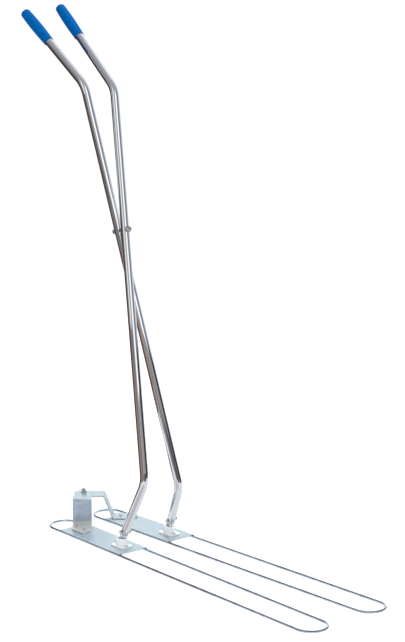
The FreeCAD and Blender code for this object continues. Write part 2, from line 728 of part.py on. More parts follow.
def grip(side):
    """A barrel-shaped soft sleeve with a closed, rounded end."""
    name = side + "_grip_sleeve"
    body = new_body(name)
    skirt = "(Dims.grip_cap - Dims.grip_length)"
    bulge = "(Dims.grip_middle_radius - Dims.grip_end_radius)"
    half = "((Dims.grip_length - Dims.grip_round) / 2)"
    barrel = "(%s ^ 2 + %s ^ 2) / (2 * %s)" % (half, bulge, bulge)
    shoulder = "(Dims.grip_cap - Dims.grip_round)"
    crown = "(Dims.grip_end_radius - Dims.grip_round)"
    sketch = new_sketch(body, name + "_outline", "XZ_Plane")
    outline(sketch, [("Dims.tube_radius", skirt), ("Dims.grip_end_radius", skirt),
                     ("Dims.grip_end_radius", shoulder), (crown, "Dims.grip_cap"), ("0", "Dims.grip_cap"),
                     ("0", "0"), ("Dims.tube_radius", "0")],
            curved={1: barrel, 2: "Dims.grip_round"})
    revolve(body, name + "_turning", sketch)
    lean = turned((1, 0, 0), -(dim("lower_lean") + dim("upper_lean")))
    finish(body, side + "_grip", handle_frame(side).multiply(Placement(tube_corner(side, 3), lean)))


# ------------------------------------------------------------------ pivots

def jaw_pivot():
    """The upright bolt that both brackets fold about: head below, lock nut on top."""
    under = value_of("Dims.tower_top - 2 * Dims.strip_thickness - Dims.stack_gap")
    seat = under - dim("stack_gap") - dim("thick_washer")
    head_down = turned((1, 0, 0), 180)
    length = "2 * Dims.strip_thickness + 2 * Dims.thick_washer + 2 * Dims.stack_gap + 10"
    finish(bolt("jaw_pivot", "Dims.large_radius", "13", "5.3", length), "jaw_pivot_bolt",
           move(z=seat, turn=head_down))
    rings = []
    for name, z in (("lower", seat), ("upper", dim("tower_top"))):
        ring = washer("jaw_pivot_%s_washer" % name, "8.5", "Dims.large_radius + Dims.fit_gap",
                      "Dims.thick_washer")
        rings.append(set_at(ring, move(z=z)))
    finish(group("jaw_pivot_washer_pair", rings), "jaw_pivot_washers", move())
    nut = lock_nut("jaw_pivot_lock_nut", "Dims.large_radius", "13", "8")
    finish(nut, "jaw_pivot_nut", move(z=value_of("Dims.tower_top + Dims.thick_washer")))


def scissor_pivot():
    """The bolt through both tubes, head at the rear, with a spacer between the tubes."""
    frame = scissor_frame()
    crest = value_of("%s / 2 + Dims.tube_radius" % TUBE_PITCH)
    play = 2 * dim("fit_gap")
    rear = crest + play + dim("thick_washer")
    front = crest + play
    length = "%s + 2 * Dims.tube_radius + 2 * Dims.thick_washer + 4 * Dims.fit_gap + 10" % TUBE_PITCH
    finish(bolt("scissor", "Dims.large_radius", "13", "5.3", length), "scissor_bolt",
           frame.multiply(move(z=-rear, turn=turned((1, 0, 0), 180))))
    rings = []
    for name, z in (("rear", -rear), ("front", front)):
        ring = washer("scissor_%s_washer" % name, "8.5", "Dims.large_radius + Dims.fit_gap",
                      "Dims.thick_washer")
        rings.append(set_at(ring, move(z=z)))
    finish(group("scissor_washer_pair", rings), "scissor_washers", frame)
    spacer = washer("scissor_spacer_ring", "7.5", "Dims.large_radius + Dims.fit_gap",
                    "Dims.tube_gap - 4 * Dims.fit_gap")
    finish(spacer, "scissor_spacer", frame.multiply(move(z=play - dim("tube_gap") / 2)))
    nut = lock_nut("scissor_lock_nut", "Dims.large_radius", "13", "8")
    finish(nut, "scissor_nut", frame.multiply(move(z=front + dim("thick_washer"))))


# ------------------------------------------------------------------ assembly

def build():
    for side in SIGN:
        wire_loop(side)
        deck_plate(side)
        plate_welds(side)
        collar(side)
        collar_fixings(side)
        swivel_pin(side)
        pin_retainer(side)
        handle_tube(side)
        cross_fixings(side)
        grip(side)
    tower_bracket()
    bracket_fixings("right", "tower")
    arm_bracket()
    bracket_fixings("left", "arm")
    jaw_pivot()
    scissor_pivot()
    doc.recompute()


def centre_footprint():
    """Move everything so that the origin is at the middle of the footprint, on the ground."""
    box = FreeCAD.BoundBox()
    for item in subparts:
        box.add(item.Shape.optimalBoundingBox())
    shift = move(-box.Center.x, -box.Center.y, 0)
    for item in subparts:
        item.Placement = shift.multiply(item.Placement)
    doc.recompute()
    return shift, box


def check():
    """Stop unless every object computed and every sub-part is a valid shape."""
    for item in doc.Objects:
        if {"Invalid", "Error"} & set(item.State):
            raise RuntimeError("%s failed: %s" % (item.Name, item.State))
    for item in subparts:
        if item.Shape.isNull() or not item.Shape.isValid() or not item.Shape.Solids:
            raise RuntimeError("%s has no valid shape" % item.Label)


def export():
    os.makedirs("parts", exist_ok=True)
    for item in subparts:
        item.Shape.exportStep("parts/%s.step" % item.Label)


def report_places(shift, box):
    """Print the joints' places, in the exported frame."""
    print("box", box)
    print("jaw pivot", shift.Base)
    for side in SIGN:
        cross = handle_frame(side).multVec(Vector(0, 0, dim("cross_bolt_height")))
        print(side, "collar axis", shift.multVec(collar_place(side, 0).Base),
              "cross bolt", shift.multVec(cross), "crossing", shift.multVec(tube_crossing(side)))
    frame = scissor_frame()
    print("scissor", shift.multVec(frame.Base), "axis", frame.Rotation.multVec(Vector(0, 0, 1)))


build()
check()
footprint_shift, whole_box = centre_footprint()
check()
export()
report_places(footprint_shift, whole_box)
print("sub-parts:", len(subparts))
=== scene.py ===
"""Studio scene of the long-handled scissor tongs: materials, fine detail, floor, light and camera."""
import json
import math
import bmesh
import bpy
from mathutils import Matrix, Vector, noise


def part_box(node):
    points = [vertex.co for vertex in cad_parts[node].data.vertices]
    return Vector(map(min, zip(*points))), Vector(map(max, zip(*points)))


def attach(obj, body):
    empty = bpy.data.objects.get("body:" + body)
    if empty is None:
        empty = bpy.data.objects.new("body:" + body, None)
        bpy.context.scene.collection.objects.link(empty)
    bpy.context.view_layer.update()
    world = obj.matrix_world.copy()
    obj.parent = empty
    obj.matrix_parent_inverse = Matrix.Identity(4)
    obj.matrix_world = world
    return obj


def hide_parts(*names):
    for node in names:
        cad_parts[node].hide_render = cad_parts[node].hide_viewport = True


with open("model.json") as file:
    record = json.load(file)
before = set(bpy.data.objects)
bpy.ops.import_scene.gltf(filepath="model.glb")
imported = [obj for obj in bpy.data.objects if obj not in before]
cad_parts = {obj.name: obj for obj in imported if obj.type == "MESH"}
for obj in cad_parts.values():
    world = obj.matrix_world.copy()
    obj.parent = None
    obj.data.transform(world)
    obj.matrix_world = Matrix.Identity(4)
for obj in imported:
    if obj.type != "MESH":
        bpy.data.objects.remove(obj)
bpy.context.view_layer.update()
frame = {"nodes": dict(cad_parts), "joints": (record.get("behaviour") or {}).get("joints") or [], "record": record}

NODES = frame["nodes"]
JOINTS = {joint["name"]: joint for joint in frame["joints"]}
PARTS = {part["node"]: part for part in frame["record"]["subparts"]}
BODY_OF = {node: body for body, nodes in frame["record"]["behaviour"]["bodies"].items()
           for node in nodes}
SIDES = {"left": 1, "right": -1}            # side of the X axis
SWIVEL_AT = {side: Vector((*JOINTS[side + "_swivel_turn"]["pos_m"][:2], 0.0)) for side in SIDES}
PIVOT = Vector((*JOINTS["jaw_pivot"]["pos_m"][:2], 0.0))

# the tongs' own angles, in degrees, and lengths, in millimetres
MM = 0.001
REST_OPENING = 1.25                         # each jaw from the middle plane at rest
SIDE_LEAN = 5.75                            # each tube's plane from upright
LOWER_LEAN = 24.0                           # a tube's lower section, forward
MIDDLE_LEAN = 13.5                          # its middle section, backward
UPPER_LEAN = 52.1                           # its upper section, backward
LOWER_RUN = 137.0                           # from the pin's bend to the tube's first bend
TUBE_PITCH = 27.0                           # between the tubes' centre lines at the scissor bolt
PIN_BEND_HEIGHT = 24.0
SCREW_SEAT = 11.0                           # top of the brackets' feet
RAILS = (32.5, 112.5)                       # a loop's two long wires from the jaw's middle line
PLATE_ENDS = (53.0, 310.0)                  # ahead of the jaw pivot

scene = bpy.context.scene
scene.view_settings.view_transform = "Standard"


# ------------------------------------------------------------------ camera

# camera place and aim, measured from the foot of the jaw pivot
CAMERA_AT = PIVOT + Vector((-2.78131, -3.70600, 1.46910))
CAMERA_AIM = PIVOT + Vector((0.15987, -0.29908, 0.56588))
SENSOR_HEIGHT = 36.0
LENS = 101.04

camera_data = bpy.data.cameras.new("studio_camera")
camera_data.sensor_fit = "VERTICAL"
camera_data.sensor_height = SENSOR_HEIGHT
camera_data.lens = LENS
camera = bpy.data.objects.new("studio_camera", camera_data)
scene.collection.objects.link(camera)
camera.location = CAMERA_AT
camera.rotation_mode = "QUATERNION"
camera.rotation_quaternion = (CAMERA_AIM - CAMERA_AT).to_track_quat("-Z", "Y")
scene.camera = camera


# ------------------------------------------------------------------ node helpers

def rgb(*values):
    return (*values, 1.0)


class Graph:
    """A short way to build a node tree.  Values may be plain or another node's output."""

    def __init__(self, tree):
        self.tree = tree

    def feed(self, socket, value):
        if isinstance(value, bpy.types.NodeSocket):
            self.tree.links.new(value, socket)
        else:
            socket.default_value = value

    def node(self, kind, inputs=None, **settings):
        made = self.tree.nodes.new(kind)
        for key, value in settings.items():
            setattr(made, key, value)
        for key, value in (inputs or {}).items():
            self.feed(made.inputs[key], value)
        return made

    def math(self, operation, a, b):
        return self.node("ShaderNodeMath", {0: a, 1: b}, operation=operation).outputs[0]

    def dot(self, a, b):
        made = self.node("ShaderNodeVectorMath", {0: a, 1: b}, operation="DOT_PRODUCT")
        return made.outputs["Value"]

    def spread(self, value, low, high, to_low=0.0, to_high=1.0):
        """Map a range to another with a smooth ease at both ends."""
        made = self.node("ShaderNodeMapRange", {"Value": value, "From Min": low, "From Max": high,
                                                "To Min": to_low, "To Max": to_high})
        made.interpolation_type = "SMOOTHSTEP"
        return made.outputs["Result"]

    def mix(self, factor, a, b):
        """Mix two colours; sockets 0, 6 and 7 are the factor and the colour inputs."""
        return self.node("ShaderNodeMix", {0: factor, 6: a, 7: b}, data_type="RGBA").outputs[2]

    def ramp(self, value, stops):
        made = self.node("ShaderNodeValToRGB", {"Fac": value})
        ramp = made.color_ramp
        ramp.interpolation = "EASE"
        while len(ramp.elements) < len(stops):
            ramp.elements.new(0.5)
        for element, (place, colour) in zip(ramp.elements, stops):
            element.position = place
            element.color = rgb(*colour)
        return made.outputs["Color"]

    def noise(self, vector, scale, detail=3.0, rough=0.5):
        inputs = {"Vector": vector, "Scale": scale, "Detail": detail, "Roughness": rough}
        return self.node("ShaderNodeTexNoise", inputs).outputs["Fac"]

    def stretched(self, vector, scale):
        """Coordinates scaled along each axis, for drawn-out grain."""
        return self.node("ShaderNodeMapping", {"Vector": vector, "Scale": scale}).outputs["Vector"]

    def bump(self, height, strength, distance):
        inputs = {"Height": height, "Strength": strength, "Distance": distance}
        return self.node("ShaderNodeBump", inputs).outputs["Normal"]


# ------------------------------------------------------------------ studio

def studio_world():
    """A white sweep behind and a dim room in front, so that the chrome has something to show.

    It stands still in the object's frame: front is the bearing that the dim room faces."""
    world = bpy.data.worlds.new("studio_world")
    scene.world = world
    world.use_nodes = True
    world.node_tree.nodes.clear()
    g = Graph(world.node_tree)
    direction = g.node("ShaderNodeTexCoord").outputs["Generated"]
    front = Vector((-0.653, -0.757, 0.0))
    beside = Vector((0.757, -0.653, 0.0))
    angle = g.math("ARCTAN2", g.dot(direction, beside), g.dot(direction, front))
    turn = g.math("ADD", g.math("DIVIDE", angle, 2 * math.pi), 0.5)
    height = g.dot(direction, Vector((0.0, 0.0, 1.0)))
    # the room by bearing, as a share of a full turn: 0 and 1 are straight behind, 0.5 is front
    right_side = [
        (0.505, (0.42, 0.42, 0.44)), (0.530, (1.15, 1.15, 1.15)), (0.608, (1.15, 1.15, 1.15)),
        (0.640, (0.17, 0.20, 0.24)), (0.720, (0.19, 0.22, 0.27)), (0.790, (0.46, 0.50, 0.56)),
        (0.850, (0.80, 0.86, 0.92)), (1.000, (0.93, 0.97, 1.0))]
    below_eye = g.ramp(turn, [
        (0.000, (0.95, 0.98, 1.0)), (0.083, (0.80, 0.84, 0.88)), (0.108, (0.035, 0.024, 0.025)),
        (0.228, (0.035, 0.024, 0.025)), (0.264, (0.19, 0.105, 0.065)), (0.310, (0.16, 0.13, 0.12)),
        (0.400, (0.11, 0.11, 0.12)), (0.475, (0.14, 0.14, 0.16))] + right_side)
    above_eye = g.ramp(turn, [
        (0.000, (0.93, 0.97, 1.0)), (0.083, (0.75, 0.78, 0.82)), (0.116, (0.05, 0.048, 0.062)),
        (0.240, (0.05, 0.048, 0.062)), (0.285, (0.20, 0.19, 0.19)), (0.335, (0.20, 0.19, 0.20)),
        (0.368, (0.86, 0.85, 0.84)), (0.425, (0.80, 0.80, 0.81)), (0.462, (0.27, 0.29, 0.33)),
        (0.492, (0.33, 0.35, 0.38))] + right_side)
    walls = g.mix(g.spread(height, -0.02, 0.08), below_eye, above_eye)
    # the white sweep behind the tool curls further overhead than the dim room in front
    behind = g.spread(g.dot(direction, front), -0.2, 0.3, 0.30, 0.0)
    overhead = g.spread(g.math("SUBTRACT", height, behind), 0.50, 0.80)
    colour = g.mix(overhead, walls, rgb(0.36, 0.37, 0.40))
    background = g.node("ShaderNodeBackground", {"Color": colour, "Strength": 1.0})
    g.node("ShaderNodeOutputWorld", {"Surface": background.outputs[0]})


def area_light(name, at, aim, size, power):
    """A soft lamp that neither the eye nor shiny parts see."""
    data = bpy.data.lights.new(name, "AREA")
    data.shape = "RECTANGLE"
    data.size, data.size_y = size
    data.energy = power
    lamp = bpy.data.objects.new(name, data)
    scene.collection.objects.link(lamp)
    lamp.location = Vector(at)
    lamp.rotation_mode = "QUATERNION"
    lamp.rotation_quaternion = (Vector(aim) - Vector(at)).to_track_quat("-Z", "Y")
    lamp.visible_glossy = False
    lamp.visible_camera = False


def sheet_of(name, corners):
    """A flat stage prop through four corners."""
    mesh = bpy.data.meshes.new(name)
    mesh.from_pydata(corners, [], [(0, 1, 2, 3)])
    made = bpy.data.objects.new(name, mesh)
    scene.collection.objects.link(made)
    return made


def floor_sheet(name, low, high, z):
    (x0, y0), (x1, y1) = low, high
    return sheet_of(name, [(x0, y0, z), (x1, y0, z), (x1, y1, z), (x0, y1, z)])


def standing_board(name, start, end, top, end_top=None):
    """An upright board on the floor; its top edge may slope to end_top."""
    return sheet_of(name, [(*start, 0.0), (*end, 0.0), (*end, end_top or top), (*start, top)])


def pale(name, albedo, glow):
    """A surface that is partly lit by the lamps and partly bright by itself."""
    material = bpy.data.materials.new(name)
    material.use_nodes = True
    shader = material.node_tree.nodes["Principled BSDF"]
    shader.inputs["Base Color"].default_value = rgb(albedo, albedo, albedo)
    shader.inputs["Roughness"].default_value = 1.0
    shader.inputs["Specular IOR Level"].default_value = 0.0
    shader.inputs["Emission Color"].default_value = rgb(*glow)
    shader.inputs["Emission Strength"].default_value = 1.0
    return material


def only_reflected(prop):
    """A prop that shiny parts show, and nothing else sees."""
    prop.visible_camera = False
    prop.visible_diffuse = False
    prop.visible_shadow = False
    prop.visible_transmission = False


def backdrop():
    """A white dome that only the eye sees, so that every view has the same plain background."""
    mesh = bpy.data.meshes.new("white_dome")
    shape = bmesh.new()
    bmesh.ops.create_icosphere(shape, subdivisions=3, radius=70.0)
    shape.to_mesh(mesh)
    shape.free()
    mesh.materials.append(pale("white_dome", 0.0, (1.0, 1.0, 1.0)))
    dome = bpy.data.objects.new("white_dome", mesh)
    scene.collection.objects.link(dome)
    dome.visible_diffuse = False
    dome.visible_glossy = False
    dome.visible_shadow = False
    dome.visible_transmission = False


def studio_floor():
    """An endless pale floor for the eye, and the things that shiny parts reflect."""
    floor = floor_sheet("studio_floor", (-75.0, -75.0), (75.0, 75.0), -0.0005)
    floor.data.materials.append(pale("pale_floor", 0.30, (0.88, 0.88, 0.88)))
    floor.visible_glossy = False
    reflected = (
        (floor_sheet("paper_sheet", (-1.15, -1.9), (1.4, 0.84), -0.0003),
         pale("paper", 0.06, (0.66, 0.70, 0.75))),
        (floor_sheet("dark_mat", (-0.45, 0.40), (-0.12, 0.62), -0.0002),
         pale("dark_mat", 0.02, (0.10, 0.035, 0.03))),
        (floor_sheet("grey_mat", (-0.50, -0.25), (-0.125, 0.18), -0.0002),
         pale("grey_mat", 0.03, (0.49, 0.46, 0.49))),
        (standing_board("tan_board", (-1.08, 0.16), (-0.99, 0.57), 0.55),
         pale("tan_board", 0.02, (0.36, 0.20, 0.105))),
        (standing_board("maroon_board", (-0.89, 0.60), (-0.07, 1.15), 0.55),
         pale("maroon_board", 0.02, (0.085, 0.026, 0.022))),
        (standing_board("grey_wall", (-1.37, 0.96), (-1.21, -0.62), 0.57, 0.94),
         pale("grey_wall", 0.02, (0.150, 0.153, 0.160))),
        (standing_board("dark_crate", (0.39, -1.17), (1.28, -0.23), 0.80, 0.56),
         pale("dark_crate", 0.02, (0.016, 0.012, 0.013))),
        (standing_board("grey_screen", (-0.62, -0.66), (0.12, -0.72), 0.63),
         pale("grey_screen", 0.02, (0.30, 0.28, 0.27))),
        (standing_board("dark_bench", (-0.61, -0.65), (0.13, -0.71), 0.36),
         pale("dark_bench", 0.02, (0.075, 0.058, 0.058))),
    )
    for prop, material in reflected:
        prop.data.materials.append(material)
        only_reflected(prop)


studio_world()
backdrop()
studio_floor()
area_light("top_softbox", (0.6, 1.2, 4.2), (0.0, 0.0, 0.3), (3.5, 3.5), 190.0)
area_light("left_softbox", (-3.6, 0.4, 2.8), (0.0, 0.0, 0.4), (2.5, 2.5), 45.0)
area_light("front_softbox", (-1.3, -2.9, 1.3), (0.0, 0.1, 0.05), (1.6, 1.2), 22.0)
area_light("right_softbox", (3.4, -1.2, 3.0), (0.0, 0.0, 0.4), (2.5, 2.5), 70.0)


# ------------------------------------------------------------------ materials

def new_material(name):
    material = bpy.data.materials.new(name)
    material.use_nodes = True
    material.node_tree.nodes.clear()
    g = Graph(material.node_tree)
    shader = g.node("ShaderNodeBsdfPrincipled")
    g.node("ShaderNodeOutputMaterial", {"Surface": shader.outputs[0]})
    place = g.node("ShaderNodeTexCoord").outputs["Object"]
    return material, g, shader, place


def wire_up(g, shader, **inputs):
    """Feed the shader's inputs, named with underscores for spaces."""
    for key, value in inputs.items():
        g.feed(shader.inputs[key.replace("_", " ")], value)


def chrome():
    """Bright plating with faint haze and a few fine wipe marks."""
    material, g, shader, place = new_material("chrome_plate")
    haze = g.noise(place, 9.0, 4.0, 0.6)
    wipe = g.noise(g.stretched(place, (420.0, 420.0, 14.0)), 1.0, 4.0, 0.65)
    rough = g.math("ADD", g.spread(haze, 0.35, 0.75, 0.035, 0.075),
                   g.spread(wipe, 0.62, 0.80, 0.0, 0.07))
    tone = g.mix(haze, rgb(0.86, 0.87, 0.89), rgb(0.93, 0.93, 0.94))
    wire_up(g, shader, Base_Color=tone, Metallic=1.0, Roughness=rough,
            Normal=g.bump(wipe, 0.03, 0.0002))
    return material


def zinc_sheet(name="zinc_sheet", web=None):
    """Zinc plate with crystals of slightly different tone and dull patches.

    web gives the heights between which the upright web is painted darker, as painted shade in a darker copy of the
    zinc tone.  Above the upper bend the plain zinc tone stays, and below the lower height the strip is painted
    paler, as a painted highlight on the lower bend and foot."""
    material, g, shader, place = new_material(name)
    warp = g.noise(place, 60.0, 2.0)
    crystal = g.node("ShaderNodeTexVoronoi", {"Vector": place, "Scale": 95.0, "Randomness": 1.0})
    grain = g.node("ShaderNodeSeparateColor", {"Color": crystal.outputs["Color"]}).outputs[0]
    cloud = g.noise(place, 14.0, 5.0, 0.6)
    tone = g.mix(g.spread(grain, 0.0, 1.0, 0.35, 0.65), rgb(0.48, 0.575, 0.61), rgb(0.585, 0.68, 0.715))
    tone = g.mix(g.spread(cloud, 0.35, 0.70, 0.0, 0.55), tone, rgb(0.50, 0.63, 0.69))
    if web:
        foot, top = web
        blur = 0.0015
        level = g.node("ShaderNodeSeparateXYZ", {"Vector": place}).outputs["Z"]
        level = g.math("ADD", level, g.spread(warp, 0.3, 0.7, -0.0006, 0.0006))
        painted_shade_band = g.math("MULTIPLY", g.spread(level, foot - blur, foot + blur),
                        g.spread(level, top + blur, top - blur))
        # painted shade: a darker copy of the zinc tone, laid on the upright web between the two heights
        skin_and_painted_shade = g.mix(g.spread(grain, 0.0, 1.0, 0.1, 0.9), rgb(0.43, 0.50, 0.61), rgb(0.56, 0.64, 0.75))
        skin_and_painted_shade = g.mix(g.spread(cloud, 0.35, 0.70, 0.0, 0.6), skin_and_painted_shade, rgb(0.50, 0.55, 0.65))
        # painted highlight: the lower bend and foot below the web are painted a paler tone
        painted_foot_light = g.spread(level, foot - blur, foot + blur, 1.0, 0.0)
        tone = g.mix(painted_shade_band, g.mix(painted_foot_light, tone, rgb(0.75, 0.77, 0.73)), skin_and_painted_shade)
    rough = g.math("ADD", g.spread(grain, 0.0, 1.0, 0.26, 0.36), g.spread(warp, 0.4, 0.7, 0.0, 0.08))
    wire_up(g, shader, Base_Color=tone, Metallic=0.72, Roughness=rough,
            Normal=g.bump(cloud, 0.02, 0.0005))
    return material


def zinc_wire():
    """Drawn wire, bright zinc over fine lengthwise drawing lines, with grey scuffs."""
    material, g, shader, place = new_material("zinc_wire")
    drawn = g.noise(g.stretched(place, (900.0, 25.0, 900.0)), 1.0, 3.0, 0.6)
    scuff = g.noise(place, 38.0, 5.0, 0.65)
    tone = g.mix(g.spread(scuff, 0.40, 0.72), rgb(0.72, 0.82, 0.92), rgb(0.43, 0.50, 0.57))
    rough = g.math("ADD", g.spread(drawn, 0.3, 0.7, 0.09, 0.17), g.spread(scuff, 0.4, 0.72, 0.0, 0.14))
    wire_up(g, shader, Base_Color=tone, Metallic=1.0, Roughness=rough,
            Normal=g.bump(drawn, 0.06, 0.0001))
    return material


def plated_hardware():
    """Zinc-plated fasteners, slightly uneven in brightness."""
    material, g, shader, place = new_material("plated_hardware")
    spots = g.noise(place, 320.0, 4.0, 0.6)
    tone = g.mix(g.spread(spots, 0.35, 0.70), rgb(0.88, 0.89, 0.90), rgb(0.66, 0.69, 0.71))
    wire_up(g, shader, Base_Color=tone, Metallic=1.0, Roughness=g.spread(spots, 0.3, 0.75, 0.16, 0.34),
            Normal=g.bump(spots, 0.05, 0.0001))
    return material


def turned_steel():
    """A lathe-turned bar: fine rings round its length."""
    material, g, shader, place = new_material("turned_steel")
    rings = g.noise(g.stretched(place, (20.0, 20.0, 2200.0)), 1.0, 2.0)
    tone = g.mix(rings, rgb(0.52, 0.53, 0.54), rgb(0.70, 0.70, 0.70))
    wire_up(g, shader, Base_Color=tone, Metallic=1.0, Roughness=g.spread(rings, 0.3, 0.7, 0.20, 0.32),
            Normal=g.bump(rings, 0.08, 0.0001))
    return material


def nylon():
    """Moulded white nylon, a little translucent, with a soft eggshell skin."""
    material, g, shader, place = new_material("white_nylon")
    skin_and_painted_shade = g.noise(place, 900.0, 3.0)
    tint = g.noise(place, 45.0, 3.0)
    tone = g.mix(g.spread(tint, 0.35, 0.7), rgb(0.83, 0.86, 0.86), rgb(0.76, 0.805, 0.795))
    wire_up(g, shader, Base_Color=tone, Roughness=g.spread(skin_and_painted_shade, 0.3, 0.7, 0.34, 0.44),
            Normal=g.bump(skin_and_painted_shade, 0.10, 0.00015), Subsurface_Weight=0.12, Subsurface_Scale=0.004)
    return material


def vinyl():
    """Soft dipped vinyl with a fine pebbled skin and faintly rubbed patches."""
    material, g, shader, place = new_material("blue_vinyl")
    pebble = g.noise(place, 1500.0, 2.0)
    rub = g.noise(place, 38.0, 3.0, 0.55)
    tone = g.mix(g.spread(rub, 0.35, 0.75), rgb(0.0, 0.078, 0.276), rgb(0.0, 0.088, 0.302))
    wire_up(g, shader, Base_Color=tone, Roughness=g.spread(rub, 0.3, 0.75, 0.50, 0.60),
            Normal=g.bump(pebble, 0.10, 0.00008), Specular_IOR_Level=0.02)
    return material


def weld_metal():
    """A tack weld's heat colours: olive, straw and a grey oxide."""
    material, g, shader, place = new_material("weld_metal")
    heat = g.noise(place, 300.0, 4.0, 0.65)
    tone = g.ramp(heat, [(0.30, (0.10, 0.085, 0.06)), (0.48, (0.27, 0.23, 0.15)),
                         (0.62, (0.36, 0.35, 0.30)), (0.80, (0.55, 0.56, 0.54))])
    wire_up(g, shader, Base_Color=tone, Metallic=0.85, Roughness=g.spread(heat, 0.3, 0.7, 0.34, 0.55),
            Normal=g.bump(heat, 0.25, 0.0003))
    return material


MATERIALS = {
    "tube": chrome(), "sheet": zinc_sheet(), "wire": zinc_wire(), "fastener": plated_hardware(),
    "pin_steel": turned_steel(), "nylon": nylon(), "grip": vinyl(), "weld": weld_metal(),
}

for node, part in PARTS.items():
    for slot in NODES[node].material_slots:
        slot.material = MATERIALS[part["material_slot"]]
# the tower's upright web, between its two bends, is painted darker as painted shade, and the strip below it paler
# as a painted highlight
for slot in NODES["tower_bracket"].material_slots:
    slot.material = zinc_sheet("zinc_sheet_painted_web_shade", web=(0.0165, 0.0665))


# ------------------------------------------------------------------ mesh helpers

STEPS = 48                       # points round a turned piece; six divides it, for hexagon corners
CHAMFER = math.tan(math.radians(30.0))


def rotation(degrees, axis):
    return Matrix.Rotation(math.radians(degrees), 4, axis)


def shift(x=0.0, y=0.0, z=0.0):
    """A move in millimetres."""
    return Matrix.Translation(Vector((x, y, z)) * MM)


def stand_for(piece, node):
    """Let the piece take the CAD node's place and body."""
    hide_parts(node)
    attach(piece, BODY_OF[node])


class Shell:
    """The closed surfaces of one piece.  Profiles are in millimetres, in a place's own frame."""

    def __init__(self):
        self.points, self.faces, self.slots = [], [], []

    def add(self, place, x, y, z):
        self.points.append(place @ (Vector((x, y, z)) * MM))
        return len(self.points) - 1

    def row(self, place, radius, height):
        """One turn of points, or a single point on the axis where the radius is 0."""
        if radius == 0:
            return [self.add(place, 0.0, 0.0, height)] * STEPS
        made = []
        for k in range(STEPS):
            a = 2 * math.pi * k / STEPS
            r = radius(a) if callable(radius) else radius
            h = height(a) if callable(height) else height
            made.append(self.add(place, r * math.cos(a), r * math.sin(a), h))
        return made

    def turn(self, place, profile, ring=False, second=()):
        """Turn a profile about the place's Z.  Segments listed in second take the second material."""
        rows = [self.row(place, radius, height) for radius, height in profile]
        pairs = list(zip(rows, rows[1:] + rows[:1]))
        for number, (low, high) in enumerate(pairs if ring else pairs[:-1]):
            for k in range(STEPS):
                n = (k + 1) % STEPS
                corners = list(dict.fromkeys((low[k], low[n], high[n], high[k])))
                if len(corners) > 2:
                    self.faces.append(corners)
                    self.slots.append(1 if number in second else 0)

    def piece(self, name, node, materials):
        """Make the object and put it in the CAD node's place."""
        mesh = bpy.data.meshes.new(name)
        mesh.from_pydata(self.points, [], self.faces)
        for material in materials:
            mesh.materials.append(material)
        mesh.polygons.foreach_set("material_index", self.slots)
        shape = bmesh.new()
        shape.from_mesh(mesh)
        bmesh.ops.recalc_face_normals(shape, faces=shape.faces)
        shape.to_mesh(mesh)
        shape.free()
        mesh.shade_smooth()
        mesh.set_sharp_from_angle(angle=math.radians(28.0))
        made = bpy.data.objects.new(name, mesh)
        scene.collection.objects.link(made)
        stand_for(made, node)


# ------------------------------------------------------------------ fasteners

def six_sided(flats):
    """A hexagon's radius at an angle, with its corners just taken off."""
    def radius(angle):
        across = math.pi / 3
        return min(flats / 2 / math.cos(angle % across - across / 2), flats * 0.572)
    return radius


def bolt_profile(size, length, threaded):
    """Head above z = 0 and shank below, with a chamfered crown and a cut thread at the end."""
    radius, flats, head, pitch = size["radius"], size["flats"], size["head"], size["pitch"]
    six = six_sided(flats)
    crown = flats * 0.455
    profile = [(0, head - 0.05), (crown - 0.5, head), (crown, head - 0.05),
               (six, lambda a: head - 0.1 - (six(a) - crown) * CHAMFER), (six, 0.45),
               (flats * 0.475, 0.3), (flats * 0.47, 0.0), (radius + 0.3, 0.0), (radius, -0.3)]
    start = threaded - length
    turns = 6                                # rows of points in one turn of the thread
    depth = 0.5 * pitch
    rows = int((threaded - 0.2) / pitch * turns)
    for row in range(rows + 1):
        z = start - row * pitch / turns
        fade = min(1.0, row / turns, (rows - row) / turns + 0.55)
        taper = max(0.0, row - rows + turns) / turns * depth * 0.8

        def ridge(angle, z=z, fade=fade, taper=taper):
            wave = abs(2.0 * ((z / pitch + angle / (2 * math.pi)) % 1.0) - 1.0)
            return radius - 0.03 - taper - depth * wave * fade
        profile.append((ridge, z))
    return profile + [(radius - depth * 1.5, -length), (0, -length)]


def lock_nut_profile(size):
    """A ring: hexagon with both ends chamfered, then the rolled collar that holds a nylon ring."""
    flats, height = size["flats"], size["nut"]
    six = six_sided(flats)
    face, collar, bore = flats * 0.46, flats * 0.43, size["radius"] + 0.05
    side = height * 0.74
    return [(bore, 0.5), (bore + 0.4, 0.0), (face, 0.0),
            (six, lambda a: 0.1 + (six(a) - face) * CHAMFER),
            (six, lambda a: side - 0.1 - (six(a) - face) * CHAMFER), (face, side),
            (collar + 0.1, side + 0.1), (collar, side + 0.4), (collar, height * 0.90),
            (collar - 0.35, height - 0.12), (collar - 0.8, height), (collar - 1.25, height - 0.15),
            (collar - 1.35, height - 0.7), (bore + 0.25, height - 0.75), (bore, height - 1.0)]


NYLON_SEGMENTS = (12, 13)

# thread radius, across flats, head height, thread pitch and lock nut height
M8 = {"radius": 4.0, "flats": 13.0, "head": 5.3, "pitch": 1.25, "nut": 8.0}
M6 = {"radius": 3.0, "flats": 10.0, "head": 4.0, "pitch": 1.0, "nut": 6.0}
M5 = {"radius": 2.5, "flats": 8.0, "head": 3.5, "pitch": 0.8}


def handle_turn(side):
    """From upright to the handle's lower section: leaning inward, then forward."""
    return rotation(-SIDES[side] * SIDE_LEAN, "Y") @ rotation(LOWER_LEAN, "X")


def middle_of(node):
    low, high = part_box(node)
    return Matrix.Translation((low + high) / 2)


def fastened(name, node, places, size, length, threaded):
    shell = Shell()
    for place in places:
        shell.turn(place, bolt_profile(size, length, threaded))
    shell.piece(name, node, [MATERIALS["fastener"]])


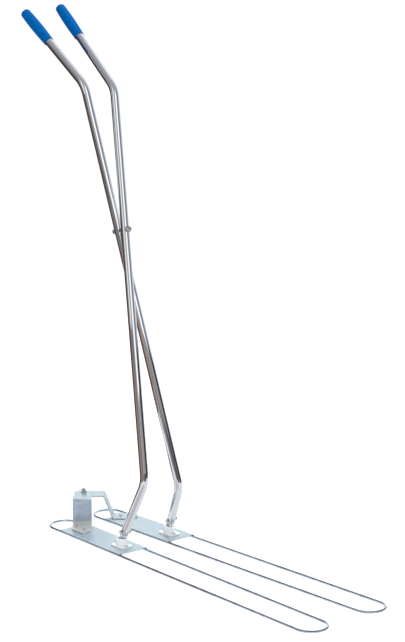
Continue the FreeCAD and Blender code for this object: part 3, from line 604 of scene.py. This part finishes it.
def through_bolt(name, place, size, length, threaded, head_side, nut_side):
    """A bolt from below with its lock nut: where its head and its nut bear on the washers."""
    fastened(name + "_hex_bolt", name + "_bolt",
             [place @ shift(z=head_side) @ rotation(180.0, "X")], size, length, threaded)
    shell = Shell()
    shell.turn(place @ shift(z=nut_side), lock_nut_profile(size), ring=True, second=NYLON_SEGMENTS)
    shell.piece(name + "_nyloc_nut", name + "_nut", [MATERIALS["fastener"], MATERIALS["nylon"]])


def all_fasteners():
    upright = Matrix.Translation(PIVOT)
    through_bolt("jaw_pivot", upright, M8, 19.3, 12.5, 67.8, 77.1)

    lean, tilt = math.radians(MIDDLE_LEAN), math.radians(SIDE_LEAN)
    forward = Vector((0.0, -math.cos(lean), math.sin(lean) * math.cos(tilt)))
    aim = Vector((0.0, 0.0, 1.0)).rotation_difference(forward).to_matrix().to_4x4()
    through_bolt("scissor", middle_of("scissor_spacer") @ aim, M8, 62.4, 16.0, -26.2, 26.2)

    for side in SIDES:
        across = middle_of(side + "_cross_washers") @ handle_turn(side) @ rotation(90.0, "Y")
        through_bolt(side + "_cross", across, M6, 31.9, 10.5, -12.2, 12.2)

    # hexagon screws of the two brackets: distances outward and forward of the jaw pivot
    arm = math.radians(47.5)
    spots_of = {"right": [(72.5, 67.0), (72.5, 101.0)],
                "left": [(reach * math.sin(arm), reach * math.cos(arm)) for reach in (98.0, 124.0)]}
    node_of = {"right": "tower_screws", "left": "arm_screws"}
    for side, spots in spots_of.items():
        jaw = upright @ rotation(SIDES[side] * REST_OPENING, "Z")
        places = [jaw @ shift(SIDES[side] * out, -ahead, SCREW_SEAT) @ rotation(22.0 + 31.0 * number, "Z")
                  for number, (out, ahead) in enumerate(spots)]
        fastened(node_of[side] + "_hex", node_of[side], places, M5, 10.0, 8.0)


# ------------------------------------------------------------------ grips

KNEE = LOWER_LEAN + MIDDLE_LEAN             # bends of a tube, from its lower section
SHOULDER = LOWER_LEAN + UPPER_LEAN
TUBE_RUNS = {"left": (LOWER_RUN, 1046.0, 282.5),
             "right": (LOWER_RUN + TUBE_PITCH / math.sin(math.radians(KNEE)), 994.5, 316.5)}


def grip_profile():
    """A ring round the tube: rolled open lip, slightly barrelled sleeve, closed rounded end."""
    profile = [(0, 0.0), (11.03, 0.0), (11.03, -113.2), (11.25, -113.8), (11.8, -114.0),
               (12.5, -113.85), (12.95, -113.3), (13.0, -112.4), (12.85, -111.6), (12.8, -111.0)]
    low, high, ends, middle = -111.0, -1.0, 12.8, 14.3
    rows = 40
    for row in range(1, rows + 1):
        share = row / rows
        belly = 1.0 - (2.0 * share - 1.0) ** 2
        profile.append((ends + (middle - ends) * belly, low + (high - low) * share))
    for row in range(1, 11):
        angle = math.radians(9.0 * row)
        profile.append((7.8 + 5.0 * math.cos(angle), -1.0 + 4.95 * math.sin(angle)))
    return profile + [(4.0, 4.0), (1.6, 4.0), (1.2, 3.4), (0, 3.3)]


def all_grips():
    """One at the end of each tube, found by walking along the tube's three sections."""
    for side in SIDES:
        point = Vector()
        for degrees, length in zip((0.0, KNEE, SHOULDER), TUBE_RUNS[side]):
            angle = math.radians(degrees)
            point += Vector((0.0, math.sin(angle), math.cos(angle))) * length
        foot = Matrix.Translation(SWIVEL_AT[side]) @ shift(z=PIN_BEND_HEIGHT)
        place = foot @ handle_turn(side) @ shift(*point) @ rotation(-SHOULDER, "X")
        shell = Shell()
        shell.turn(place, grip_profile())
        shell.piece(side + "_vinyl_grip", side + "_grip", [MATERIALS["grip"]])


# ------------------------------------------------------------------ weld beads

def all_welds():
    """Lumpy tack welds where each wire leaves the plate."""
    for side, sign in SIDES.items():
        jaw = Matrix.Translation(PIVOT) @ rotation(sign * REST_OPENING, "Z")
        made = bmesh.new()
        for rail in RAILS:
            for ahead in PLATE_ENDS:
                outward = 1.0 if ahead == PLATE_ENDS[1] else -1.0
                place = jaw @ shift(sign * rail, -ahead - 0.6 * outward, 6.15)
                ball = bmesh.ops.create_icosphere(made, subdivisions=4, radius=1.0)
                for vertex in ball["verts"]:
                    way = vertex.co.normalized()
                    seed = Vector((rail, ahead, sign * 10.0))
                    lump = noise.noise(way * 1.6 + seed) * 0.24 + noise.noise(way * 3.6 + seed) * 0.05
                    ripple = 0.03 * math.sin(way.y * 13.0)
                    size = 1.0 + lump + ripple
                    spot = Vector((way.x * 3.0, way.y * 3.3, way.z * 2.0)) * size
                    vertex.co = place @ (spot * MM)
        mesh = bpy.data.meshes.new(side + "_tack_welds")
        made.to_mesh(mesh)
        made.free()
        mesh.materials.append(MATERIALS["weld"])
        mesh.shade_smooth()
        piece = bpy.data.objects.new(side + "_tack_welds", mesh)
        scene.collection.objects.link(piece)
        stand_for(piece, side + "_plate_welds")


# ------------------------------------------------------------------ softened edges

def soften(node, width, segments=2):
    """Join a CAD node's split edges for shading and round them by a width in millimetres."""
    made = NODES[node]
    join = made.modifiers.new("join", "WELD")
    join.merge_threshold = 1e-6
    edge = made.modifiers.new("soft_edges", "BEVEL")
    edge.width = width * MM
    edge.segments = segments
    edge.limit_method = "ANGLE"
    edge.angle_limit = math.radians(40.0)
    edge.harden_normals = True
    edge.use_clamp_overlap = True


all_fasteners()
all_grips()
all_welds()
for node in ("tower_bracket", "arm_bracket"):
    soften(node, 0.30)
for node in PARTS:
    if "washer" in node or node.endswith("clip"):
        soften(node, 0.15)
    elif node.endswith("_collar"):
        soften(node, 0.45, 3)
    elif node.endswith(("_nuts", "_collar_screws")):
        soften(node, 0.20)
